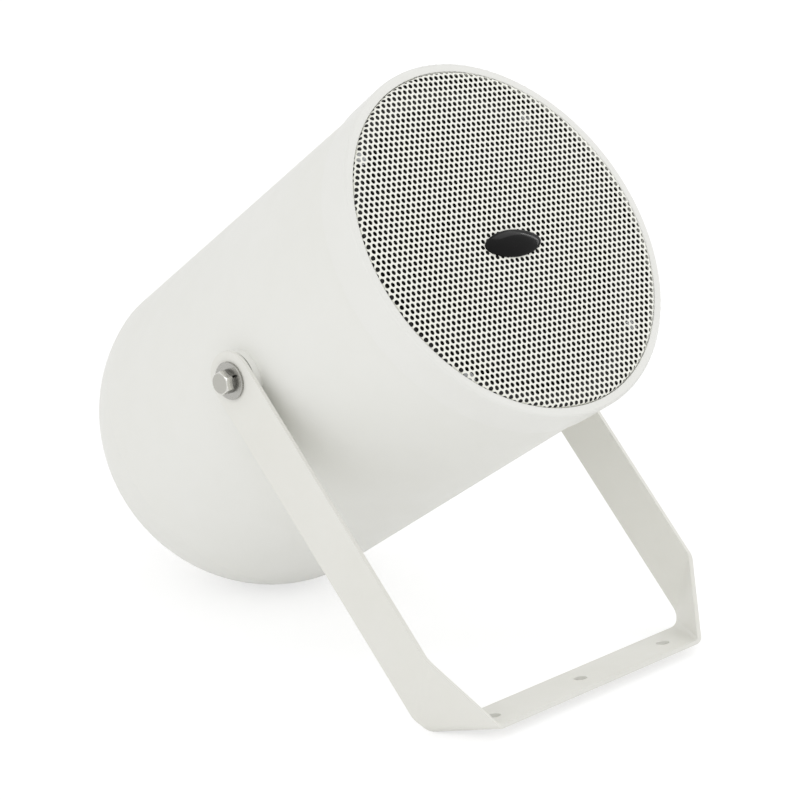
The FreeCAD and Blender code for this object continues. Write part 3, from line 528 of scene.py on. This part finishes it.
# Front collar: a separate ABS ring over the shell's spigot, with a flat front face round the grille.
# It is moulded in the same plastic as the shell, from a smoother mould.
COLLAR_WHITE = (0.805, 0.805, 0.775, 1)
COLLAR_AGED = (0.79, 0.79, 0.755, 1)
COLLAR_GRAIN = 2800.0
COLLAR_GLOSS = (0.38, 0.46)
COLLAR_RELIEF = 0.000012
collar_abs = satin("collar_abs", COLLAR_WHITE, COLLAR_AGED, COLLAR_GRAIN, COLLAR_GLOSS, COLLAR_RELIEF)
dress(collar_abs, "front_collar")

# Grille: a round pan of perforated sheet steel, enamelled white, with painted shade on its back and inner
# wall.
# Its edge is rolled back and pushed into the collar, and its staggered holes run over the roll.
# The blank is drawn flat with its holes, its rim is wrapped round the roll, and it gets its thickness last.
HOLE_PITCH = 0.0032
HOLE_RADIUS = 0.00117
HOLE_SIDES = 12
PAN_ROLL = 0.0022
PAN_SHEET = 0.00025
PAN_SPREAD = 0.00012
ROW_TURN = math.radians(-5.7)
ROW_SHIFT = (-0.397, -0.336)
RIM_POINTS = 540
RIM_MARGIN = 0.00125
RIM_DROP = 0.0015
WALL_RINGS = 3
ENAMEL_WHITE = (0.89, 0.89, 0.825, 1)
ENAMEL_AGED = (0.875, 0.875, 0.80, 1)
ENAMEL_GRAIN = 1500.0
ENAMEL_GLOSS = (0.34, 0.44)
ENAMEL_RELIEF = 0.000008
PAINTED_SHADE_BLACK = (0.02, 0.02, 0.02, 1)
TURNED_AWAY = -0.3


def hole_centres(reach):
    """Staggered rows of holes within a radius of the pan's middle."""
    rows = math.ceil(reach / HOLE_PITCH * 1.2)
    turn = Matrix.Rotation(ROW_TURN, 2)
    for row in range(-rows, rows + 1):
        for column in range(-rows, rows + 1):
            along = column + (row % 2) / 2 + ROW_SHIFT[0]
            across = row * math.sqrt(3) / 2 + ROW_SHIFT[1]
            centre = turn @ (Vector((along, across)) * HOLE_PITCH)
            if centre.length <= reach:
                yield centre


def flat_blank(radius):
    """Points, edges and triangles of the flat blank, with its holes left open."""
    points = []
    edges = []
    owners = []
    outlines = [(Vector((0, 0)), radius, RIM_POINTS)]
    outlines += [(centre, HOLE_RADIUS, HOLE_SIDES) for centre in hole_centres(radius - RIM_MARGIN)]
    for owner, (centre, reach, count) in enumerate(outlines):
        first = len(points)
        for step in range(count):
            angle = 2 * math.pi * (step + 0.5) / count
            points.append(centre + Vector((math.cos(angle), math.sin(angle))) * reach)
            edges.append((first + step, first + (step + 1) % count))
            owners.append(owner)
    triangles = delaunay_2d_cdt(points, edges, [], 0, 1e-9, False)[2]
    sheet = []
    for corners in triangles:
        around = {owners[corner] for corner in corners}
        if len(around) > 1 or around == {0}:
            sheet.append(corners)
    return points, edges, sheet


def perforated_pan():
    """The blank with its rim rolled back, and a side wall down to the basket's flange."""
    foot, face = (corner.z for corner in corners_of("grille"))
    flat = radii_of("grille")[1] + PAN_SPREAD - PAN_ROLL
    rolled = PAN_ROLL * math.pi / 2
    points, edges, sheet = flat_blank(flat + rolled + RIM_DROP)
    mesh = bmesh.new()
    sides = []
    for point in points:
        past = max(point.length - flat, 0)
        swing = min(past, rolled) / PAN_ROLL
        drop = max(past - rolled, 0)
        away = point.normalized()
        place = away * (min(point.length, flat) + PAN_ROLL * math.sin(swing))
        normal = Vector((*(away * math.sin(swing)), math.cos(swing)))
        outer = Vector((*place, face - PAN_ROLL * (1 - math.cos(swing)) - drop))
        sides.append((mesh.verts.new(outer), mesh.verts.new(outer - normal * PAN_SHEET)))
    for corners in sheet:
        mesh.faces.new([sides[corner][0] for corner in corners])
        mesh.faces.new([sides[corner][1] for corner in reversed(corners)])
    for first, second in edges[RIM_POINTS:]:
        mesh.faces.new((sides[second][0], sides[first][0], sides[first][1], sides[second][1]))
    upper = sides[:RIM_POINTS]
    for step in range(1, WALL_RINGS + 1):
        fall = Vector((0, 0, (face - PAN_ROLL - RIM_DROP - foot) * step / WALL_RINGS))
        lower = [[mesh.verts.new(vertex.co - fall) for vertex in pair] for pair in sides[:RIM_POINTS]]
        for here in range(RIM_POINTS):
            there = (here + 1) % RIM_POINTS
            mesh.faces.new((upper[here][0], lower[here][0], lower[there][0], upper[there][0]))
            mesh.faces.new((upper[there][1], lower[there][1], lower[here][1], upper[here][1]))
        upper = lower
    for here in range(RIM_POINTS):
        there = (here + 1) % RIM_POINTS
        mesh.faces.new((upper[here][0], upper[here][1], upper[there][1], upper[there][0]))
    return mesh


def object_facing(tree):
    return tree.nodes.new("ShaderNodeTexCoord").outputs["Normal"]


def paint_over(material, mask, colour):
    """Another colour on a finished material, where a mask says so."""
    tree = material.node_tree
    base = tree.nodes["Principled BSDF"].inputs["Base Color"]
    feed(tree, base, tint(tree, mask, base.links[0].from_socket, colour))


def enamel_with_painted_shade():
    """White enamel on the front, and painted shade in near black on the back of the sheet and inside its
    wall.
    """
    material = satin("grille_enamel", ENAMEL_WHITE, ENAMEL_AGED, ENAMEL_GRAIN, ENAMEL_GLOSS, ENAMEL_RELIEF)
    tree = material.node_tree
    facing = object_facing(tree)
    forward = vector_step(tree, "DOT_PRODUCT", facing, (0, 0, 1), "Value")
    away = vector_step(tree, "NORMALIZE", vector_step(tree, "MULTIPLY", object_place(tree), (1, 1, 0)))
    outward = vector_step(tree, "DOT_PRODUCT", facing, away, "Value")
    height = vector_step(tree, "DOT_PRODUCT", object_place(tree), (0, 0, 1), "Value")
    wall_top = corners_of("grille")[1].z - PAN_ROLL - RIM_DROP
    inside_wall = joined(tree, joined(tree, outward, TURNED_AWAY, "LESS_THAN"),
                         joined(tree, height, wall_top, "LESS_THAN"), "MULTIPLY")
    # Painted shade: the back of the sheet and the inside of its wall are coloured near black, for the shade
    # inside the pan.
    painted_shade_mask = joined(tree, joined(tree, forward, TURNED_AWAY, "LESS_THAN"), inside_wall, "MAXIMUM")
    paint_over(material, painted_shade_mask, PAINTED_SHADE_BLACK)
    return material


new_piece("perforated_grille", perforated_pan(), enamel_with_painted_shade(), "grille")

# Badge: a blank oval of black acrylic with a domed, polished top, stuck over the holes just below the middle.
# Its ends are a little pointed, and a fine moulded edge runs round it.
BADGE_BLACK = (0.004, 0.004, 0.004, 1)
BADGE_DUSTY = (0.007, 0.007, 0.007, 1)
BADGE_DUST = 900.0
BADGE_GLOSS = (0.06, 0.16)
BADGE_SHEEN = 0.11
BADGE_EDGE = 0.0009
BADGE_LIP = 0.0003
BADGE_POINT = 1.84
BADGE_LONGER = 1.03
BADGE_FALL = 2.4
BADGE_SIDES = 120
BADGE_RINGS = 10


def domed_oval():
    """Rings from the foot of the edge up over the dome."""
    low, high = corners_of("badge", ROW_TURN)
    middle = (low + high) / 2
    half = (high - low) / 2
    half.x *= BADGE_LONGER
    sections = [(1.0, low.z), (1.0, low.z + BADGE_EDGE - BADGE_LIP)]
    rise = high.z - low.z - BADGE_EDGE
    for step in range(BADGE_RINGS):
        share = 1 - step / BADGE_RINGS
        reach = share * (1 - BADGE_LIP / half.y)
        sections.append((reach, low.z + BADGE_EDGE + rise * (1 - share ** BADGE_FALL)))
    turn = Matrix.Rotation(ROW_TURN, 3, "Z")
    rings = []
    for reach, height in sections:
        ring = []
        for step in range(BADGE_SIDES):
            angle = 2 * math.pi * step / BADGE_SIDES
            along, across = math.cos(angle), math.sin(angle)
            x = math.copysign(abs(along) ** (2 / BADGE_POINT), along) * half.x * reach
            y = math.copysign(abs(across) ** (2 / BADGE_POINT), across) * half.y * reach
            ring.append(turn @ Vector((middle.x + x, middle.y + y, height)))
        rings.append(ring)
    mesh = bmesh.new()
    made = skin_rings(mesh, rings, False)
    crown = mesh.verts.new(turn @ Vector((middle.x, middle.y, high.z)))
    for step in range(BADGE_SIDES):
        mesh.faces.new((made[-1][step], made[-1][(step + 1) % BADGE_SIDES], crown))
    mesh.faces.new(made[0])
    return mesh


badge_acrylic, badge_tree, badge_shader = new_material("badge_acrylic")
badge_dust = noise(badge_tree, object_place(badge_tree), BADGE_DUST, 5.0, 0.7)
feed(badge_tree, badge_shader.inputs["Base Color"],
     tint(badge_tree, spread(badge_tree, badge_dust, 0.0, 1.0, 0.5, 0.8), BADGE_BLACK, BADGE_DUSTY))
feed(badge_tree, badge_shader.inputs["Roughness"], spread(badge_tree, badge_dust, *BADGE_GLOSS))
badge_shader.inputs["Specular IOR Level"].default_value = BADGE_SHEEN
new_piece("domed_badge", domed_oval(), badge_acrylic, "badge")

# Bracket: one strip of mild steel, folded twice at each lower corner and powder coated off-white.
# The coat has the slight orange peel of stoved powder, and rounds off the sheared edges.
COAT_WHITE = (0.775, 0.77, 0.725, 1)
COAT_AGED = (0.755, 0.75, 0.70, 1)
COAT_GRAIN = 700.0
COAT_GLOSS = (0.36, 0.46)
COAT_RELIEF = 0.00003
COAT_EDGE = 0.00045
EDGE_STEPS = 2
SHARP_CORNER = math.radians(28.0)
FLAT_WITHIN = math.radians(0.2)
SAME_PLACE = 1e-6


def softened(node, width):
    """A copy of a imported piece's mesh with its sharp edges rounded."""
    mesh = bmesh.new()
    mesh.from_mesh(nodes[node].data)
    bmesh.ops.remove_doubles(mesh, verts=mesh.verts, dist=SAME_PLACE)
    bmesh.ops.dissolve_limit(mesh, angle_limit=FLAT_WITHIN, verts=mesh.verts, edges=mesh.edges)
    sharp = [edge for edge in mesh.edges
             if edge.is_manifold and edge.calc_face_angle() > SHARP_CORNER]
    bmesh.ops.bevel(mesh, geom=sharp, offset=width, segments=EDGE_STEPS, affect="EDGES", profile=0.5,
                    clamp_overlap=True)
    return mesh


powder_coat = satin("powder_coat", COAT_WHITE, COAT_AGED, COAT_GRAIN, COAT_GLOSS, COAT_RELIEF)
new_piece("coated_bracket", softened("u_bracket", COAT_EDGE), powder_coat, "u_bracket",
          "bracket", Matrix.Identity(4), even=True)

# Pivots: a hexagon bolt through each arm, over a split spring washer and a wide plain washer, in stainless.
# The flats carry a painted highlight, the end face a painted shade, and the spring washer a painted shade.
# A black nylon washer between arm and boss gives the friction that holds the tilt.
BOLT_FLATS_PAINTED_BRIGHT = ((0.76, 0.755, 0.72, 1), (0.62, 0.615, 0.585, 1))
BOLT_END_PAINTED_SHADE = (0.46, 0.455, 0.42, 1)
WASHER_STEEL = ((0.45, 0.445, 0.42, 1), (0.37, 0.365, 0.345, 1))
# Painted shade: the spring washer is coloured much darker than the other steel, for the shade in the slit
# under the bolt head.
SPRING_STEEL_PAINTED_SHADE = ((0.24, 0.237, 0.222, 1), (0.14, 0.138, 0.13, 1))
BOLT_GLOSS = (0.16, 0.24)
BOLT_RELIEF = 2e-6
END_SHADE_FACING = (0.6, 0.9)
WASHER_GLOSS = (0.2, 0.3)
WASHER_RELIEF = 5e-6
STEEL_EDGE = 0.00012
WASHER_EDGE = 0.0003
NYLON_BLACK = ((0.02, 0.02, 0.02, 1), (0.035, 0.035, 0.035, 1))
NYLON_GRAIN = 600.0
NYLON_GLOSS = (0.4, 0.55)
NYLON_RELIEF = 0.00001


def steel_with_painted_facet_light():
    """Steel with a painted highlight on the flats, and painted shade where it faces along the bolt."""
    material = marked("bolt_steel", place_along, side_way, TURNING_PITCH, BOLT_FLATS_PAINTED_BRIGHT, BOLT_GLOSS, BOLT_RELIEF)
    tree = material.node_tree
    along = vector_step(tree, "DOT_PRODUCT", object_facing(tree), tuple(side_way), "Value")
    # Painted shade on the end face, by how far it faces along the bolt; the flats keep their painted
    # highlight.
    end_shade_mask = spread(tree, joined(tree, along, along, "MULTIPLY"), 0.0, 1.0, *END_SHADE_FACING)
    paint_over(material, end_shade_mask, BOLT_END_PAINTED_SHADE)
    return material


washer_steel = marked("washer_steel", place_round, side_way, TURNING_PITCH, WASHER_STEEL,
                      WASHER_GLOSS, WASHER_RELIEF)
spring_steel_painted_shade = marked("spring_steel_painted_shade", place_round, side_way, TURNING_PITCH, SPRING_STEEL_PAINTED_SHADE,
                      WASHER_GLOSS, WASHER_RELIEF)
fasteners = [("flat_washers", washer_steel, WASHER_EDGE),
             ("spring_washers", spring_steel_painted_shade, STEEL_EDGE),
             ("pivot_bolts", steel_with_painted_facet_light(), STEEL_EDGE)]
for node, steel, edge in fasteners:
    new_piece("dressed_" + node, softened(node, edge), steel, node, "speaker",
              Matrix.Identity(4), even=True)
dress(flecked("friction_nylon", NYLON_BLACK, NYLON_GRAIN, NYLON_GLOSS, NYLON_RELIEF), "friction_washers")

# Table and light: a white table under a soft bright room, with a wide lamp at the upper left.
# A small lamp and a strip at the right show in the gloss of the badge, and the table takes a soft shadow.
TABLE_HALF = 3.0
TABLE_WHITE = (0.92, 0.92, 0.92, 1)
TABLE_SHADOWED = (0.45, 0.45, 0.45, 1)
TABLE_GLOW = 0.62
TABLE_LIGHT = 0.06
TABLE_ROUGHNESS = 0.9
ROOM_LIGHT = 0.90
PLAIN_WHITE = (1, 1, 1, 1)
LAMPS = [("left_lamp", (-1.25, 0.35, 0.75), (0.9, 0.9), 2.1),
         ("right_lamp", (0.88, 0.64, 0.72), (0.5, 0.3), 0.7),
         ("right_strip", (1.20, 0.21, 0.69), (0.05, 0.8), 1.3)]
table_mesh = bpy.data.meshes.new("table")
table_corners = [(-TABLE_HALF, -TABLE_HALF, 0), (TABLE_HALF, -TABLE_HALF, 0), (TABLE_HALF, TABLE_HALF, 0),
                 (-TABLE_HALF, TABLE_HALF, 0)]
table_mesh.from_pydata(table_corners, [], [(0, 1, 2, 3)])
table = bpy.data.objects.new("table", table_mesh)
bpy.context.scene.collection.objects.link(table)
table_paint, table_tree, table_shader = new_material("table_white")
table_mesh.materials.append(table_paint)
table_shader.inputs["Roughness"].default_value = TABLE_ROUGHNESS
table_shader.inputs["Emission Color"].default_value = PLAIN_WHITE


def seen_plainly(tree):
    """One where a ray comes from the camera, a mirror or glass, and nought where it carries light."""
    path = tree.nodes.new("ShaderNodeLightPath").outputs
    mirrored = joined(tree, path["Is Glossy Ray"], path["Is Transmission Ray"], "MAXIMUM")
    return joined(tree, path["Is Camera Ray"], mirrored, "MAXIMUM")


table_seen = seen_plainly(table_tree)
feed(table_tree, table_shader.inputs["Base Color"], tint(table_tree, table_seen, TABLE_WHITE, TABLE_SHADOWED))
table_glow = spread(table_tree, table_seen, TABLE_LIGHT, TABLE_GLOW, 0.0, 1.0)
feed(table_tree, table_shader.inputs["Emission Strength"], table_glow)

world = bpy.data.worlds.new("room")
bpy.context.scene.world = world
world.use_nodes = True
room_tree = world.node_tree
room = room_tree.nodes["Background"]
room.inputs["Color"].default_value = PLAIN_WHITE
room_seen = seen_plainly(room_tree)
feed(room_tree, room.inputs["Strength"], spread(room_tree, room_seen, ROOM_LIGHT, 1.0, 0.0, 1.0))


def add_lamp(name, place, size, power):
    """A soft lamp in the speaker's frame, turned to its middle."""
    light = bpy.data.lights.new(name, "AREA")
    light.shape = "RECTANGLE"
    light.size, light.size_y = size
    light.energy = power
    lamp = bpy.data.objects.new(name, light)
    bpy.context.scene.collection.objects.link(lamp)
    lamp.location = speaker_frame @ Vector(place)
    away = (lamp.location - pivot_middle).normalized()
    across = crown_way.cross(away).normalized()
    lamp.rotation_euler = Matrix((across, away.cross(across), away)).transposed().to_euler()


for lamp in LAMPS:
    add_lamp(*lamp)

# Camera: a long lens at the speaker's left front, placed in the speaker's own frame.
# It was fitted to the lattice of the grille's holes.
CAMERA_PLACE = Vector((-1.0886, -0.2772, 1.1389))
CAMERA_LOOK = Vector((0.6822, 0.1530, -0.7150))
CAMERA_UP = Vector((0.2257, 0.8860, 0.4050))
CAMERA_LENS = 149.5
CAMERA_SENSOR = 36.0
CAMERA_REACH = 20.0
camera_data = bpy.data.cameras.new("camera")
camera_data.lens = CAMERA_LENS
camera_data.sensor_width = CAMERA_SENSOR
camera_data.sensor_fit = "HORIZONTAL"
camera_data.clip_end = CAMERA_REACH
camera = bpy.data.objects.new("camera", camera_data)
bpy.context.scene.collection.objects.link(camera)
look = CAMERA_LOOK.normalized()
right = look.cross(CAMERA_UP).normalized()
camera_turn = Matrix((right, right.cross(look), -look)).transposed()
camera.matrix_world = speaker_frame @ Matrix.Translation(CAMERA_PLACE) @ camera_turn.to_4x4()
bpy.context.scene.camera = camera
bpy.context.scene.view_settings.view_transform = "Standard"
